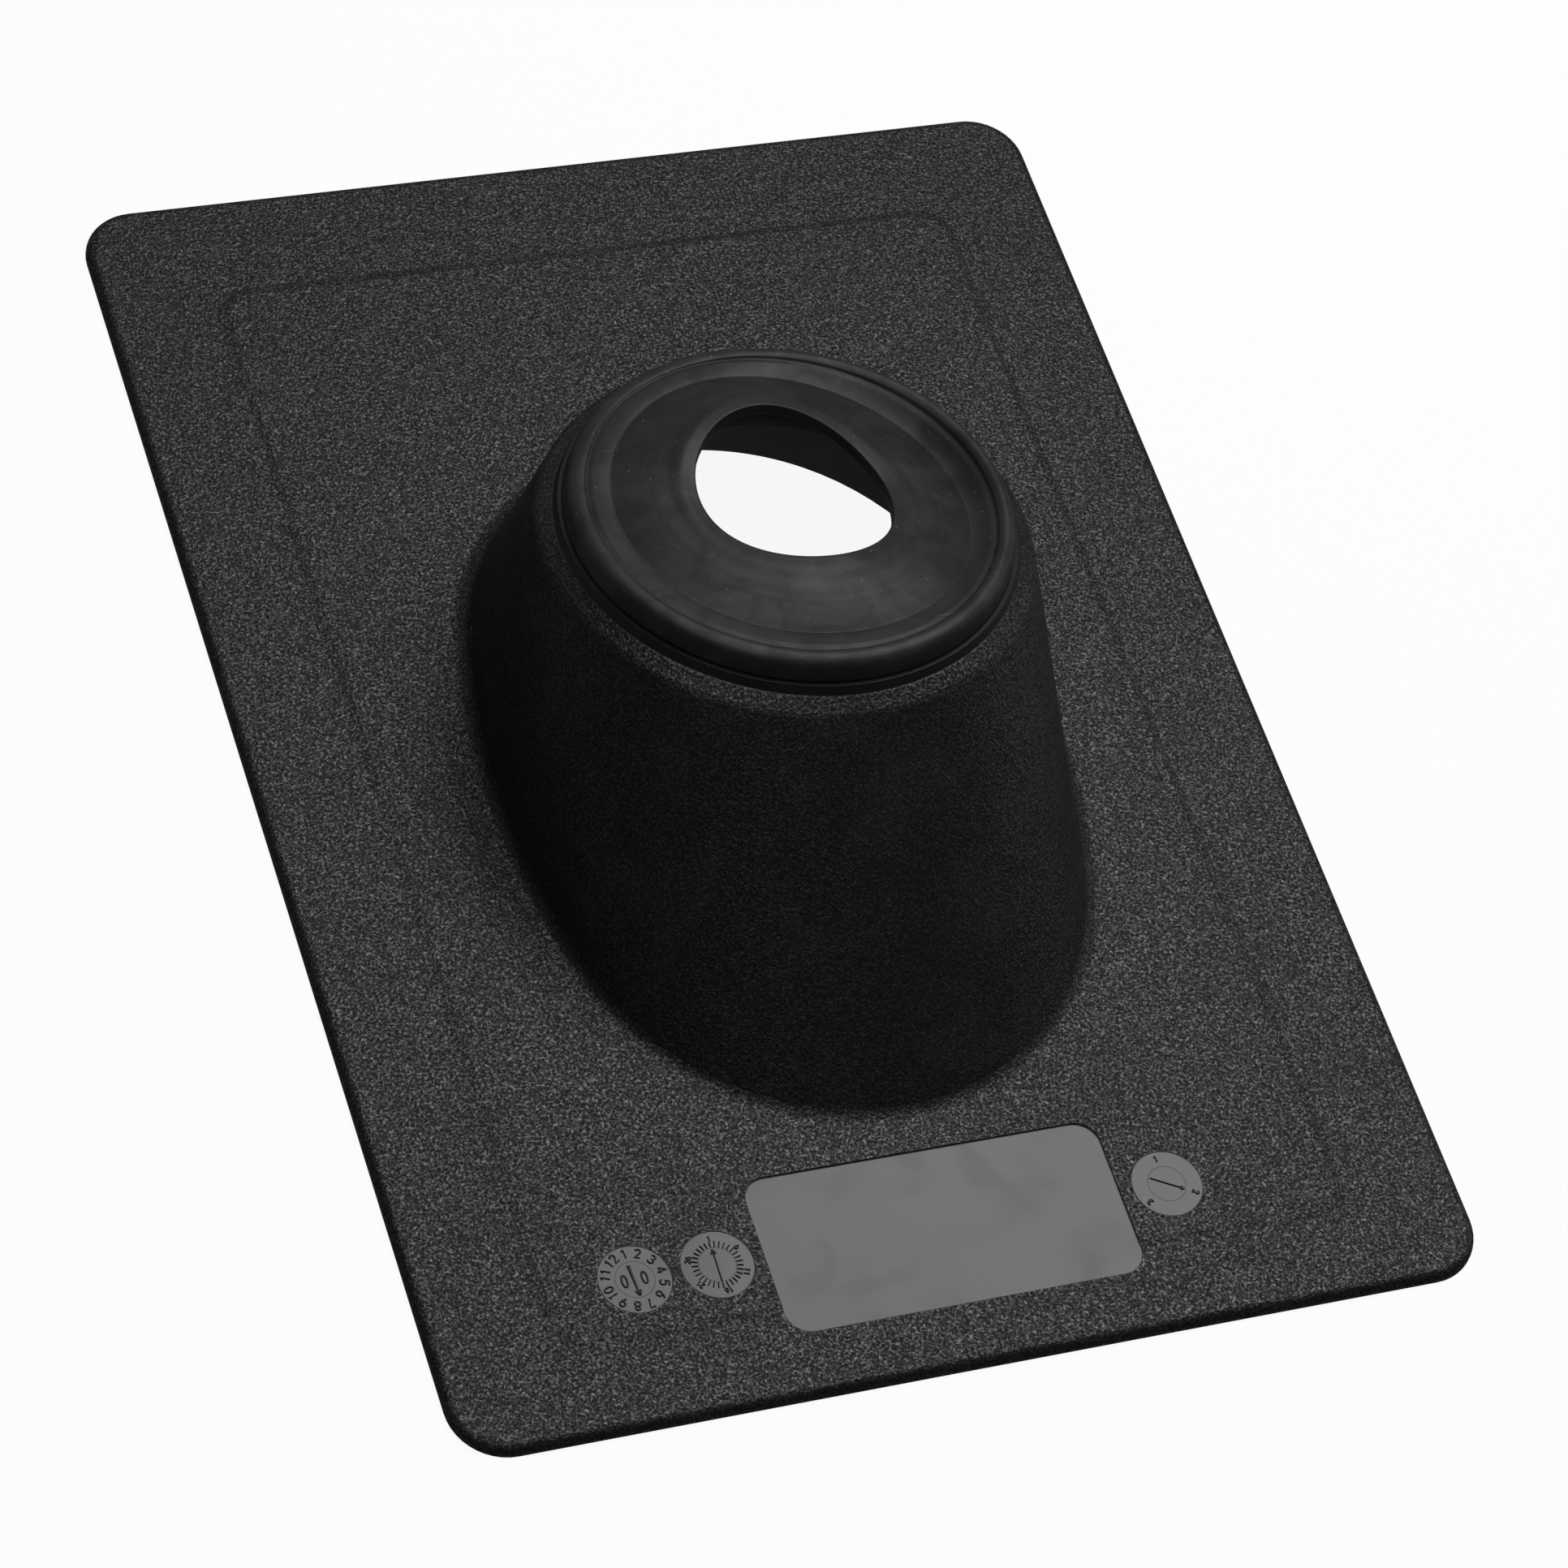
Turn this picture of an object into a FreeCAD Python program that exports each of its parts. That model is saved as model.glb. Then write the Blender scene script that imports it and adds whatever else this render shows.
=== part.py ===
import FreeCAD, Part
import math
import os
import re

import Sketcher

# Pipe flashing boot: a moulded roof flashing and the rubber collar in its neck.
# Millimetres and degrees. Z is up, X runs across the roof, Y runs up the slope.
# The origin is on the underside, in the middle of the flange.
# The neck leans up the slope: its axis is tilted about X by rim_tilt.
# Drops and heights of the neck and the collar are measured along that axis
# from the plane of the neck's rim.

SIZES = {
    # flange
    "flange_width": 234.95,
    "flange_length": 330.2,
    "flange_thickness": 2.7,
    "flange_corner": 12.7,
    "edge_land": 0.5,
    # raised field on the flange
    "field_side_margin": 28.0,
    "field_back_margin": 28.8,
    "field_front_margin": 21.6,
    "field_corner": 6.0,
    "field_rise": 0.3,
    "field_ramp": 2.0,
    # foot of the cone, at the underside of the flange
    "foot_half_width": 66.5,
    "foot_front": 106.8,
    "foot_back": 80.2,
    "foot_end_inset": 4.5,
    "foot_round": 4.0,
    # walls of the cone, across at the foot, and the bevelled mouth of its hollow
    "cone_wall": 2.5,
    "front_wall": 3.7,
    "mouth_bevel": 3.0,
    # rim of the neck
    "rim_centre_y": 16.2,
    "rim_centre_z": 58.5,
    "rim_tilt": 8.8,
    "rim_radius": 50.9,
    "rim_wall": 1.0,
    # neck band and shoulder
    "neck_foot_radius": 51.7,
    "neck_drop": 2.2,
    "crest_radius": 55.4,
    "crest_drop": 4.6,
    "crest_round": 3.5,
    # ledge in the neck, which the collar grips
    "ledge_radius": 42.0,
    "ledge_drop": 4.0,
    "ledge_thickness": 2.5,
    # clearance of the collar in the neck and in the ledge
    "collar_clearance": 0.3,
    # bead and wall of the collar
    "bead_height": 5.6,
    "bead_radius": 2.6,
    "bead_overhang": 0.4,
    "bead_draft": 10.0,
    "bead_inset": 1.6,
    "collar_wall": 2.5,
    "collar_foot": 2.0,
    # shelf and domed membrane
    "crease_radius": 39.5,
    "crease_height": 4.2,
    "shelf_thickness": 1.8,
    "dome_radius": 45.5,
    "membrane": 1.6,
    # hole for the pipe and its lip
    "pipe_hole_radius": 22.1,
    "lip_height": 9.2,
    "lip_width": 2.4,
    "lip_length": 3.0,
    # clip of the collar under the ledge
    "clip_reach": 2.4,
    "clip_edge": 1.2,
    "clip_length": 3.5,
    # bare label panel
    "panel_width": 82.0,
    "panel_front": 150.7,
    "panel_back": 113.0,
    "panel_corner": 5.5,
    "recess_depth": 0.5,
    # date dials beside the panel
    "dial_radius": 8.0,
    "dial_row": 131.5,
    "month_dial": 70.0,
    "tick_dial": 51.6,
    "shift_dial": 52.0,
}

# Sizes that follow from these, as expressions of them.
FIELD_TOP = "(flange_thickness + field_rise)"
NECK_BORE = "(rim_radius - rim_wall)"
LEDGE_BASE = "(ledge_drop + ledge_thickness)"
COLLAR_OUTER = f"({NECK_BORE} - collar_clearance)"
COLLAR_NECK = "(ledge_radius - collar_clearance)"
BEAD_OUTER = f"({COLLAR_OUTER} + bead_overhang)"
BEAD_CENTRE = "(bead_height - bead_radius)"
BEAD_SIDE_TOP = f"({BEAD_CENTRE} + bead_radius * sin(bead_draft))"
BEAD_MIDDLE = (
    f"({BEAD_OUTER} - ({BEAD_SIDE_TOP} - collar_clearance) * tan(bead_draft)"
    " - bead_radius * cos(bead_draft))"
)
LIP_OUTER = "(pipe_hole_radius + lip_width)"

X_AXIS = FreeCAD.Vector(1, 0, 0)
Z_AXIS = FreeCAD.Vector(0, 0, 1)


def add_sheet(doc):
    """The sheet of driving sizes, one named cell for each."""
    sheet = doc.addObject("Spreadsheet::Sheet", "Sizes")
    for row, (name, value) in enumerate(SIZES.items(), start=1):
        sheet.set(f"A{row}", name)
        sheet.set(f"B{row}", str(value))
        sheet.setAlias(f"B{row}", name)
    doc.recompute()


def in_cells(text):
    """An expression with each name of a size standing for its cell."""
    words = r"[a-z_]+"
    return re.sub(words, lambda word: ("Sizes." if word[0] in SIZES else "") + word[0], text)


def bind(item, path, text):
    """Tie a property of an object to an expression of the sizes."""
    item.setExpression(path, in_cells(text))


def new_body(doc, name):
    """An empty body whose label names its piece."""
    body = doc.addObject("PartDesign::Body", name)
    body.Label = name
    return body


def new_sketch(body, name, role, turn_axis=None):
    """A sketch on one of the body's own origin planes."""
    sketch = body.newObject("Sketcher::SketchObject", name)
    plane = next(item for item in body.Origin.OriginFeatures if item.Role == role)
    sketch.AttachmentSupport = [(plane, "")]
    sketch.MapMode = "FlatFace"
    if turn_axis is not None:
        turn = FreeCAD.Rotation(turn_axis, 1.0)
        sketch.AttachmentOffset = FreeCAD.Placement(FreeCAD.Vector(), turn)
    return sketch


def level_sketch(body, name, height):
    """A flat sketch at a height above the underside of the flange."""
    sketch = new_sketch(body, name, "XY_Plane")
    bind(sketch, "AttachmentOffset.Base.z", height)
    return sketch


def neck_plane_sketch(body, name, drop):
    """A sketch square to the neck's axis, at a drop below the rim."""
    sketch = new_sketch(body, name, "XY_Plane", X_AXIS)
    bind(sketch, "AttachmentOffset.Base.y", f"rim_centre_y - {drop} * sin(rim_tilt)")
    bind(sketch, "AttachmentOffset.Base.z", f"rim_centre_z - {drop} * cos(rim_tilt)")
    bind(sketch, "AttachmentOffset.Rotation.Angle", "-rim_tilt")
    return sketch


def neck_section_sketch(body, name):
    """A sketch through the neck's axis: radius across and height along the axis."""
    sketch = new_sketch(body, name, "YZ_Plane", Z_AXIS)
    bind(sketch, "AttachmentOffset.Base.x", "rim_centre_y")
    bind(sketch, "AttachmentOffset.Base.y", "rim_centre_z")
    bind(sketch, "AttachmentOffset.Rotation.Angle", "-rim_tilt")
    return sketch


def add_arc(sketch, start, finish, radius, centre_left):
    """An arc of less than half a turn; also gives which of its ends comes first."""
    chord = finish - start
    across = FreeCAD.Vector(-chord.y, chord.x, 0).normalize()
    reach = math.sqrt(radius**2 - (chord.Length / 2) ** 2)
    centre = (start + finish) * 0.5 + across * (reach if centre_left else -reach)
    ends = (start, finish) if centre_left else (finish, start)
    first, last = (math.atan2(end.y - centre.y, end.x - centre.x) for end in ends)
    if last < first:
        last += 2 * math.pi
    circle = Part.Circle(centre, Z_AXIS, radius)
    index = sketch.addGeometry(Part.ArcOfCircle(circle, first, last), False)
    return index, (1, 2) if centre_left else (2, 1)


def draw_outline(sketch, corners, arcs):
    """Draw a closed outline whose corners and radii are tied to the sizes.

    corners gives the two expressions for each corner's place. arcs gives, for a side
    that is an arc, the expression for its radius and whether its centre is on the left.
    """

    def value(text):
        return float(sketch.evalExpression(in_cells(text)))

    def dimension(kind, references, text):
        index = sketch.addConstraint(Sketcher.Constraint(kind, *references, value(text)))
        bind(sketch, f"Constraints[{index}]", text)

    points = [FreeCAD.Vector(value(across), value(along), 0) for across, along in corners]
    sides = []
    for number, start in enumerate(points):
        finish = points[(number + 1) % len(points)]
        if number in arcs:
            radius, centre_left = arcs[number]
            index, ends = add_arc(sketch, start, finish, value(radius), centre_left)
        else:
            index = sketch.addGeometry(Part.LineSegment(start, finish), False)
            ends = (1, 2)
        sides.append((index, ends))
    for number, (index, ends) in enumerate(sides):
        before, before_ends = sides[number - 1]
        join = Sketcher.Constraint("Coincident", before, before_ends[1], index, ends[0])
        sketch.addConstraint(join)
    for number, (index, ends) in enumerate(sides):
        across, along = corners[number]
        dimension("DistanceX", (-1, 1, index, ends[0]), across)
        dimension("DistanceY", (-1, 1, index, ends[0]), along)
        if number in arcs:
            dimension("Radius", (index,), arcs[number][0])


def draw_rounded_rectangle(sketch, left, right, front, back, corner):
    """A rectangle with rounded corners between expressions for its four sides."""
    corners = [
        (right, f"{front} + {corner}"),
        (right, f"{back} - {corner}"),
        (f"{right} - {corner}", back),
        (f"{left} + {corner}", back),
        (left, f"{back} - {corner}"),
        (left, f"{front} + {corner}"),
        (f"{left} + {corner}", front),
        (f"{right} - {corner}", front),
    ]
    draw_outline(sketch, corners, {side: (corner, True) for side in (1, 3, 5, 7)})


def join_angle(half_width, front, back):
    """The direction, from X, in which the flank arc of an oval meets its end arc."""
    return f"(2 * atan(foot_end_inset / {end_reach(half_width, front, back)}))"


def end_reach(half_width, front, back):
    """How far the centre of an oval's end arc lies from the middle of the oval."""
    return f"(({front} + {back}) / 2 - ({half_width} - foot_end_inset))"


def draw_four_arcs(sketch, side_across, side_along, middle, flank, end):
    """Four tangent arcs: two flanks and two ends."""
    corners = [
        (side_across, f"{middle} - {side_along}"),
        (side_across, f"{middle} + {side_along}"),
        (f"-{side_across}", f"{middle} + {side_along}"),
        (f"-{side_across}", f"{middle} - {side_along}"),
    ]
    draw_outline(sketch, corners, {0: (flank, True), 1: (end, True), 2: (flank, True), 3: (end, True)})


def draw_oval(sketch, half_width, front, back):
    """The oval foot of the cone, of flank arcs and tighter end arcs."""
    angle = join_angle(half_width, front, back)
    reach = end_reach(half_width, front, back)
    end = f"({half_width} - foot_end_inset)"
    flank = f"(({reach}^2 - foot_end_inset^2) / (2 * foot_end_inset) + {half_width})"
    draw_four_arcs(
        sketch,
        side_across=f"({end} * cos({angle}))",
        side_along=f"({reach} + {end} * sin({angle}))",
        middle=f"(({back} - {front}) / 2)",
        flank=flank,
        end=end,
    )


def draw_split_circle(sketch, radius, angle):
    """A circle about the neck's axis, parted where the arcs of the foot are parted."""
    draw_four_arcs(
        sketch,
        side_across=f"({radius} * cos({angle}))",
        side_along=f"({radius} * sin({angle}))",
        middle="0",
        flank=radius,
        end=radius,
    )


def add_pad(body, sketch, name, length):
    """A pad of a sketch, straight up."""
    pad = body.newObject("PartDesign::Pad", name)
    pad.Profile = sketch
    bind(pad, "Length", length)
    return pad


def add_pocket(body, sketch, name, depth):
    """A pocket of a sketch, straight down."""
    pocket = body.newObject("PartDesign::Pocket", name)
    pocket.Profile = sketch
    bind(pocket, "Length", depth)
    return pocket


def add_loft(body, kind, name, profile, section):
    """A loft with straight generators between two sketches."""
    loft = body.newObject("PartDesign::" + kind, name)
    loft.Profile = profile
    loft.Sections = [section]
    loft.Ruled = True
    return loft


def add_turning(body, kind, name, sketch):
    """A full turn of a sketch, added or cut away, about the sketch's upright axis."""
    turning = body.newObject("PartDesign::" + kind, name)
    turning.Profile = sketch
    turning.ReferenceAxis = (sketch, ["V_Axis"])
    turning.Angle = 360.0
    return turning


def pick_edges(body, wanted):
    """The body so far, with the edges that the test picks by points along them."""
    body.Document.recompute()
    before = body.Tip
    picked = []
    for number, edge in enumerate(before.Shape.Edges, start=1):
        first, last = edge.ParameterRange
        points = [edge.valueAt(first + (last - first) * share) for share in (0.0, 0.5, 1.0)]
        if all(wanted(point) for point in points):
            picked.append(f"Edge{number}")
    return before, picked


def add_fillet(body, name, radius, wanted):
    """Round the edges that the test picks."""
    edges = pick_edges(body, wanted)
    fillet = body.newObject("PartDesign::Fillet", name)
    fillet.Base = edges
    bind(fillet, "Radius", radius)
    return fillet


def add_chamfer(body, name, size, wanted):
    """Bevel the edges that the test picks."""
    edges = pick_edges(body, wanted)
    chamfer = body.newObject("PartDesign::Chamfer", name)
    chamfer.Base = edges
    bind(chamfer, "Size", size)
    return chamfer


def edges_round_cone(value, height):
    """A test for points at this height within the width and length of the cone's foot."""

    def wanted(point):
        level = math.isclose(point.z, height, abs_tol=1e-4)
        inside_x = abs(point.x) < value("foot_half_width")
        return level and inside_x and -value("foot_front") < point.y < value("foot_back")

    return wanted


def build_flange(body, value):
    """The flat flange with its rounded top edge, and the raised field on it."""
    outline = new_sketch(body, "flange_outline", "XY_Plane")
    draw_rounded_rectangle(
        outline,
        left="-flange_width / 2",
        right="flange_width / 2",
        front="-flange_length / 2",
        back="flange_length / 2",
        corner="flange_corner",
    )
    add_pad(body, outline, "flange", "flange_thickness")
    top = value("flange_thickness")
    add_fillet(
        body,
        "flange_edge",
        "flange_thickness - edge_land",
        lambda point: math.isclose(point.z, top, abs_tol=1e-4),
    )
    field_foot = level_sketch(body, "field_foot_outline", "flange_thickness")
    field_top = level_sketch(body, "field_top_outline", FIELD_TOP)
    for sketch, spread in ((field_foot, "field_ramp"), (field_top, "0")):
        draw_rounded_rectangle(
            sketch,
            left=f"-(flange_width / 2 - field_side_margin + {spread})",
            right=f"(flange_width / 2 - field_side_margin + {spread})",
            front=f"-(flange_length / 2 - field_front_margin + {spread})",
            back=f"(flange_length / 2 - field_back_margin + {spread})",
            corner=f"(field_corner + {spread})",
        )
    add_loft(body, "AdditiveLoft", "raised_field", field_foot, field_top)


def build_cone(body, value):
    """The leaning cone from its oval foot to the round neck, solid at first."""
    foot = new_sketch(body, "foot_outline", "XY_Plane")
    draw_oval(foot, "foot_half_width", "foot_front", "foot_back")
    crest = neck_plane_sketch(body, "crest_outline", "crest_drop")
    parting = join_angle("foot_half_width", "foot_front", "foot_back")
    draw_split_circle(crest, "crest_radius", parting)
    add_loft(body, "AdditiveLoft", "cone", foot, crest)

    shoulder = neck_section_sketch(body, "shoulder_section")
    corners = [
        ("0", "-crest_drop"),
        ("crest_radius", "-crest_drop"),
        ("neck_foot_radius", "-neck_drop"),
        ("rim_radius", "0"),
        ("0", "0"),
    ]
    draw_outline(shoulder, corners, {})
    add_turning(body, "Revolution", "shoulder_and_neck", shoulder)

    tilt = math.radians(value("rim_tilt"))
    axis = FreeCAD.Vector(0, math.sin(tilt), math.cos(tilt))
    centre = FreeCAD.Vector(0, value("rim_centre_y"), value("rim_centre_z"))

    def on_crest(point):
        offset = point - centre
        height = offset.dot(axis)
        radius = (offset - axis * height).Length
        at_height = math.isclose(height, -value("crest_drop"), abs_tol=1e-3)
        return at_height and math.isclose(radius, value("crest_radius"), abs_tol=0.01)

    add_fillet(body, "crest_rounding", "crest_round", on_crest)

    add_fillet(body, "foot_rounding", "foot_round", edges_round_cone(value, value(FIELD_TOP)))


def hollow_cone(body, value):
    """The hollow of the cone, the bore of the neck and the ledge between them."""
    width = "(foot_half_width - cone_wall)"
    front = "(foot_front - front_wall)"
    back = "(foot_back - cone_wall)"
    foot = new_sketch(body, "hollow_outline", "XY_Plane")
    draw_oval(foot, width, front, back)
    top = neck_plane_sketch(body, "hollow_top_outline", LEDGE_BASE)
    draw_split_circle(top, "(crest_radius - cone_wall)", join_angle(width, front, back))
    add_loft(body, "SubtractiveLoft", "hollow", foot, top)

    add_chamfer(body, "mouth_bevel", "mouth_bevel", edges_round_cone(value, 0.0))

    bore = neck_section_sketch(body, "bore_section")
    corners = [
        ("0", f"-{LEDGE_BASE} - ledge_thickness"),
        ("ledge_radius", f"-{LEDGE_BASE} - ledge_thickness"),
        ("ledge_radius", "-ledge_drop"),
        (NECK_BORE, "-ledge_drop"),
        (NECK_BORE, "rim_wall"),
        ("0", "rim_wall"),
    ]
    draw_outline(bore, corners, {})
    add_turning(body, "Groove", "neck_bore", bore)


def add_recesses(body):
    """The bare label panel and the discs of the date dials, sunk in the field."""
    panel = level_sketch(body, "panel_outline", FIELD_TOP)
    draw_rounded_rectangle(
        panel,
        left="-panel_width / 2",
        right="panel_width / 2",
        front="-panel_front",
        back="-panel_back",
        corner="panel_corner",
    )
    add_pocket(body, panel, "label_panel", "recess_depth")
    for name, place in (
        ("month", "-month_dial"),
        ("tick", "-tick_dial"),
        ("shift", "shift_dial"),
    ):
        dial = level_sketch(body, f"{name}_dial_outline", FIELD_TOP)
        circle = Part.Circle(FreeCAD.Vector(0, 0, 0), Z_AXIS, 1.0)
        index = dial.addGeometry(circle, False)
        for kind, references, text in (
            ("DistanceX", (-1, 1, index, 3), place),
            ("DistanceY", (-1, 1, index, 3), "-dial_row"),
            ("Radius", (index,), "dial_radius"),
        ):
            number = float(dial.evalExpression(in_cells(text)))
            constraint = dial.addConstraint(Sketcher.Constraint(kind, *references, number))
            bind(dial, f"Constraints[{constraint}]", text)
        add_pocket(body, dial, f"{name}_dial_disc", "recess_depth")


def build_base(doc):
    """The moulded base: flange, cone, neck, ledge and recesses in one piece."""
    body = new_body(doc, "flashing_base")

    def value(text):
        return float(body.evalExpression(in_cells(text)))

    build_flange(body, value)
    build_cone(body, value)
    hollow_cone(body, value)
    add_recesses(body)
    return body


def build_collar(doc):
    """The rubber collar, turned about its own axis and then set in the neck."""
    body = new_body(doc, "rubber_collar")
    body.Placement = FreeCAD.Placement(FreeCAD.Vector(), FreeCAD.Rotation(X_AXIS, 1.0))
    bind(body, "Placement.Base.y", "rim_centre_y")
    bind(body, "Placement.Base.z", "rim_centre_z")
    bind(body, "Placement.Rotation.Angle", "-rim_tilt")

    section = new_sketch(body, "collar_section", "XZ_Plane")
    wall_inner = f"{COLLAR_OUTER} - collar_wall"
    clip_outer = "ledge_radius + clip_reach"
    clip_inner = f"{COLLAR_NECK} - collar_wall"

    def on_bead(angle):
        across = f"{BEAD_MIDDLE} + bead_radius * cos({angle})"
        return (across, f"{BEAD_CENTRE} + bead_radius * sin({angle})")

    corners = [
        (COLLAR_OUTER, "-ledge_drop"),
        (COLLAR_OUTER, "collar_clearance"),
        (BEAD_OUTER, "collar_clearance"),
        on_bead("bead_draft"),
        on_bead("(bead_draft + 90) / 2"),
        (BEAD_MIDDLE, "bead_height"),
        (f"{BEAD_MIDDLE} - bead_inset", f"{BEAD_CENTRE} + sqrt(bead_radius^2 - bead_inset^2)"),
        ("crease_radius", "crease_height"),
        (LIP_OUTER, "lip_height"),
        ("pipe_hole_radius", "lip_height"),
        ("pipe_hole_radius", "lip_height - lip_length"),
        (LIP_OUTER, "lip_height - lip_length"),
        (LIP_OUTER, "lip_height - membrane"),
        ("crease_radius", "crease_height - shelf_thickness"),
        (wall_inner, "crease_height - shelf_thickness"),
        (wall_inner, "collar_foot - ledge_drop"),
        (clip_inner, "collar_foot - ledge_drop"),
        (clip_inner, f"-{LEDGE_BASE} - clip_length"),
        (COLLAR_NECK, f"-{LEDGE_BASE} - clip_length"),
        (clip_outer, f"-{LEDGE_BASE} - clip_edge"),
        (clip_outer, f"-{LEDGE_BASE}"),
        (COLLAR_NECK, f"-{LEDGE_BASE}"),
        (COLLAR_NECK, "-ledge_drop"),
    ]
    arcs = {
        3: ("bead_radius", True),
        4: ("bead_radius", True),
        7: ("dome_radius", True),
    }
    draw_outline(section, corners, arcs)
    add_turning(body, "Revolution", "collar", section)
    return body


def check_and_write(doc, bodies):
    """Stop on any failed feature or bad solid; otherwise write each piece."""
    doc.recompute()
    for item in doc.Objects:
        if "Invalid" in item.State or "Error" in item.State:
            raise RuntimeError(f"{item.Name} failed")
    for body in bodies:
        shape = body.Shape
        if shape.isNull() or not shape.isValid() or len(shape.Solids) != 1:
            raise RuntimeError(f"{body.Label} is not one sound solid")
    os.makedirs("parts", exist_ok=True)
    for body in bodies:
        body.Shape.exportStep(f"parts/{body.Label}.step")
        box = body.Shape.BoundBox
        print(body.Label, round(body.Shape.Volume, 1), [round(side, 2) for side in (
            box.XMin, box.XMax, box.YMin, box.YMax, box.ZMin, box.ZMax)])


def main():
    doc = FreeCAD.newDocument("PipeFlashingBoot")
    add_sheet(doc)
    bodies = [build_base(doc), build_collar(doc)]
    check_and_write(doc, bodies)


main()
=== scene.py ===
"""Looks of the pipe flashing boot: a grained black base moulding, its rubber collar and its date dials."""

import logging
import math
from dataclasses import dataclass, field
from enum import Enum
from typing import Iterable, Sequence, Union

import bmesh
import bpy
import numpy as np
from mathutils import Matrix, Vector


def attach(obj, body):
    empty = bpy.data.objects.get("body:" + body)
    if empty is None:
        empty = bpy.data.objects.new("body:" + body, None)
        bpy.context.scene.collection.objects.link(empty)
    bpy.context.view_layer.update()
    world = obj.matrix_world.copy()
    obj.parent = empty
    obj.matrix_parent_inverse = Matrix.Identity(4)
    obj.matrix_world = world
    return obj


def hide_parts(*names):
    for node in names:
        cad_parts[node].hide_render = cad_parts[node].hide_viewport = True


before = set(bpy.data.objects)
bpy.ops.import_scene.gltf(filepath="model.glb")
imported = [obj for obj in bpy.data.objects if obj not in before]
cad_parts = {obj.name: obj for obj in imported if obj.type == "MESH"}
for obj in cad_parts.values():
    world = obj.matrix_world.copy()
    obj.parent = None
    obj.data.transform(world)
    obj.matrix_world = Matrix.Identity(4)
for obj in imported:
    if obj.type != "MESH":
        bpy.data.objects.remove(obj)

LOG = logging.getLogger("pipe_flashing_boot")
MM = 0.001
BODY = "root"
WELD = 0.0005 * MM
FOOT_SUNK = 0.03 * MM
CREST_SHARE = 0.06

Number = Union[float, bpy.types.NodeSocket]
Pair = tuple[float, float]
Point = Pair
Triple = tuple[float, float, float]
Line = tuple[Sequence[Point], bool]


class Slot(Enum):
    """Material slots of the two mouldings."""

    BASE = "base_plastic"
    COLLAR = "collar_rubber"


# Node trees


class NodeSheet:
    """Short calls that add, set and join the nodes of one tree."""

    def __init__(self, tree: bpy.types.NodeTree) -> None:
        """Keep the tree that the calls work on.

        Args:
            tree: A shader or geometry node tree.
        """
        self.tree = tree

    def add(self, kind: str, inputs: dict | None = None, **settings: object) -> bpy.types.Node:
        """Add a node.

        Args:
            kind: The node's type name.
            inputs: Values or source sockets, by the input's name or number.
            settings: Properties of the node itself.

        Returns:
            The new node.
        """
        node = self.tree.nodes.new(kind)
        for name, value in settings.items():
            setattr(node, name, value)
        for key, value in (inputs or {}).items():
            self.feed(node.inputs[key], value)
        return node

    def feed(self, socket: bpy.types.NodeSocket, value: object) -> None:
        """Join a source socket to an input, or set the input's value.

        Args:
            socket: The input.
            value: A source socket or a plain value.
        """
        if isinstance(value, bpy.types.NodeSocket):
            self.tree.links.new(value, socket)
        else:
            socket.default_value = value

    def maths(self, operation: str, *values: Number) -> bpy.types.NodeSocket:
        """Add a Math node.

        Args:
            operation: The node's operation.
            values: Its inputs in order.

        Returns:
            The result.
        """
        return self.add("ShaderNodeMath", dict(enumerate(values)), operation=operation).outputs[0]

    def ramp(self, value: Number, low: float, high: float,
             start: float = 0.0, end: float = 1.0) -> bpy.types.NodeSocket:
        """Map a value smoothly from one range to another.

        Args:
            value: The value to map.
            low: The value that gives start.
            high: The value that gives end.
            start: The result at and below low.
            end: The result at and above high.

        Returns:
            The mapped value.
        """
        inputs = {"Value": value, "From Min": low, "From Max": high, "To Min": start, "To Max": end}
        node = self.add("ShaderNodeMapRange", inputs, interpolation_type="SMOOTHSTEP")
        return node.outputs["Result"]

    def mix_value(self, share: Number, first: Number, second: Number) -> bpy.types.NodeSocket:
        """Mix two numbers.

        Args:
            share: 0 gives the first and 1 the second.
            first: The first number.
            second: The second number.

        Returns:
            The mixed number.
        """
        node = self.add("ShaderNodeMix", data_type="FLOAT")
        for key, value in ((0, share), (2, first), (3, second)):
            self.feed(node.inputs[key], value)
        return node.outputs[0]

    def mix_colour(self, share: Number, first: object, second: object) -> bpy.types.NodeSocket:
        """Mix two colours.

        Args:
            share: 0 gives the first and 1 the second.
            first: The first colour, as RGB or a socket.
            second: The second colour, as RGB or a socket.

        Returns:
            The mixed colour.
        """
        node = self.add("ShaderNodeMix", data_type="RGBA")
        self.feed(node.inputs[0], share)
        for key, value in ((6, first), (7, second)):
            self.feed(node.inputs[key], value if isinstance(value, bpy.types.NodeSocket) else (*value, 1.0))
        return node.outputs[2]


def new_group(name: str, kind: str, inputs: dict[str, str], outputs: dict[str, str]) -> tuple:
    """Start a node group with named sockets.

    Args:
        name: The group's name.
        kind: ShaderNodeTree or GeometryNodeTree.
        inputs: Socket types by name.
        outputs: Socket types by name.

    Returns:
        The sheet, the outputs of the group's input node and the inputs of its output node.
    """
    tree = bpy.data.node_groups.new(name, kind)
    for label, socket in inputs.items():
        tree.interface.new_socket(name=label, in_out="INPUT", socket_type="NodeSocket" + socket)
    for label, socket in outputs.items():
        tree.interface.new_socket(name=label, in_out="OUTPUT", socket_type="NodeSocket" + socket)
    sheet = NodeSheet(tree)
    return sheet, sheet.add("NodeGroupInput").outputs, sheet.add("NodeGroupOutput").inputs


# Finishes


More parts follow.
